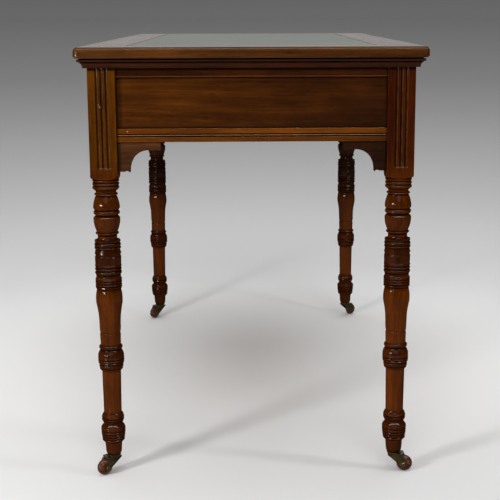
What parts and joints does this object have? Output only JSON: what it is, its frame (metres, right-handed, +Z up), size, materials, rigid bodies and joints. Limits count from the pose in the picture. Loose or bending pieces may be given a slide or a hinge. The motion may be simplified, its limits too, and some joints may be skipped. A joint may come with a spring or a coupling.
{
  "type": "writing desk",
  "caption": "Rectangular writing desk with a leather-lined top, fluted square posts on turned legs, shaped brackets, frieze drawers with drop handles, and brass castors.",
  "frame": {"origin": "on the floor, under the middle of the top", "axes": "+X along the desk to the sitter's right, +Y from the sitter to the back, +Z up"},
  "size_m": [1.1964, 0.5954, 0.762],
  "materials": {
    "polished_mahogany": "old polished red-brown hardwood, glossy, worn paler on the edges",
    "drawer_lining": "plain pale secondary wood, unpolished",
    "green_leather": "dull green hide with a fine grain and a tooled border",
    "aged_brass": "dark aged brass, satin",
    "brown_ceramic": "glazed brown ceramic"
  },
  "bodies": {
    "desk": {"leg_back_right": "polished_mahogany", "leg_back_left": "polished_mahogany", "leg_front_left": "polished_mahogany", "leg_front_right": "polished_mahogany", "top_board": "polished_mahogany", "leather_top": "green_leather", "top_moulding_front": "polished_mahogany", "top_moulding_right": "polished_mahogany", "top_moulding_back": "polished_mahogany", "top_moulding_left": "polished_mahogany", "end_right_upper_rail": "polished_mahogany", "end_right_panel": "polished_mahogany", "end_right_lower_rail": "polished_mahogany", "end_left_upper_rail": "polished_mahogany", "end_left_panel": "polished_mahogany", "end_left_lower_rail": "polished_mahogany", "back_upper_rail": "polished_mahogany", "back_panel": "polished_mahogany", "back_lower_rail": "polished_mahogany", "front_upper_rail": "polished_mahogany", "front_lower_rail": "polished_mahogany", "front_division": "polished_mahogany", "bracket_front_left": "polished_mahogany", "bracket_front_right": "polished_mahogany", "bracket_right_left": "polished_mahogany", "bracket_right_right": "polished_mahogany", "bracket_back_left": "polished_mahogany", "bracket_back_right": "polished_mahogany", "bracket_left_left": "polished_mahogany", "bracket_left_right": "polished_mahogany", "drawer_runner_left": "drawer_lining", "drawer_runner_right": "drawer_lining", "drawer_runner_middle": "drawer_lining", "castor_plate_back_right": "aged_brass", "castor_plate_back_left": "aged_brass", "castor_plate_front_left": "aged_brass", "castor_plate_front_right": "aged_brass"},
    "drawer_left": {"drawer_left_front": "polished_mahogany", "drawer_left_box": "drawer_lining", "drawer_left_bottom": "drawer_lining", "drawer_left_handle_plate": "aged_brass"},
    "bail_left": {"drawer_left_bail": "aged_brass"},
    "drawer_right": {"drawer_right_front": "polished_mahogany", "drawer_right_box": "drawer_lining", "drawer_right_bottom": "drawer_lining", "drawer_right_handle_plate": "aged_brass"},
    "bail_right": {"drawer_right_bail": "aged_brass"},
    "castor_back_right": {"castor_horn_back_right": "aged_brass", "castor_axle_back_right": "aged_brass"},
    "wheel_back_right": {"castor_wheel_back_right": "brown_ceramic"},
    "castor_back_left": {"castor_horn_back_left": "aged_brass", "castor_axle_back_left": "aged_brass"},
    "wheel_back_left": {"castor_wheel_back_left": "brown_ceramic"},
    "castor_front_left": {"castor_horn_front_left": "aged_brass", "castor_axle_front_left": "aged_brass"},
    "wheel_front_left": {"castor_wheel_front_left": "brown_ceramic"},
    "castor_front_right": {"castor_horn_front_right": "aged_brass", "castor_axle_front_right": "aged_brass"},
    "wheel_front_right": {"castor_wheel_front_right": "brown_ceramic"}
  },
  "joints": [
    {"name": "drawer_left_slide", "type": "slide", "parent": "desk", "child": "drawer_left", "axis": [0, -1, 0], "range_m": [0, 0.3]},
    {"name": "bail_left_swing", "type": "hinge", "parent": "drawer_left", "child": "bail_left", "pos_m": [-0.27075, -0.2892, 0.67385], "axis": [-1, 0, 0], "range_deg": [0, 90]},
    {"name": "drawer_right_slide", "type": "slide", "parent": "desk", "child": "drawer_right", "axis": [0, -1, 0], "range_m": [0, 0.3]},
    {"name": "bail_right_swing", "type": "hinge", "parent": "drawer_right", "child": "bail_right", "pos_m": [0.27075, -0.2892, 0.67385], "axis": [-1, 0, 0], "range_deg": [0, 90]},
    {"name": "castor_back_right_swivel", "type": "hinge", "parent": "desk", "child": "castor_back_right", "pos_m": [0.554, 0.2535, 0.0332], "axis": [0, 0, 1], "continuous": true},
    {"name": "wheel_back_right_spin", "type": "hinge", "parent": "castor_back_right", "child": "wheel_back_right", "pos_m": [0.5585, 0.27299, 0.0145], "axis": [-0.9744, 0.225, 0], "continuous": true},
    {"name": "castor_back_left_swivel", "type": "hinge", "parent": "desk", "child": "castor_back_left", "pos_m": [-0.554, 0.2535, 0.0332], "axis": [0, 0, 1], "continuous": true},
    {"name": "wheel_back_left_spin", "type": "hinge", "parent": "castor_back_left", "child": "wheel_back_left", "pos_m": [-0.56686, 0.26882, 0.0145], "axis": [-0.766, -0.6428, 0], "continuous": true},
    {"name": "castor_front_left_swivel", "type": "hinge", "parent": "desk", "child": "castor_front_left", "pos_m": [-0.554, -0.2535, 0.0332], "axis": [0, 0, 1], "continuous": true},
    {"name": "wheel_front_left_spin", "type": "hinge", "parent": "castor_front_left", "child": "wheel_front_left", "pos_m": [-0.53986, -0.26764, 0.0145], "axis": [0.7071, 0.7071, 0], "continuous": true},
    {"name": "castor_front_right_swivel", "type": "hinge", "parent": "desk", "child": "castor_front_right", "pos_m": [0.554, -0.2535, 0.0332], "axis": [0, 0, 1], "continuous": true},
    {"name": "wheel_front_right_spin", "type": "hinge", "parent": "castor_front_right", "child": "wheel_front_right", "pos_m": [0.56604, -0.26947, 0.0145], "axis": [0.7986, 0.6018, 0], "continuous": true}
  ]
}
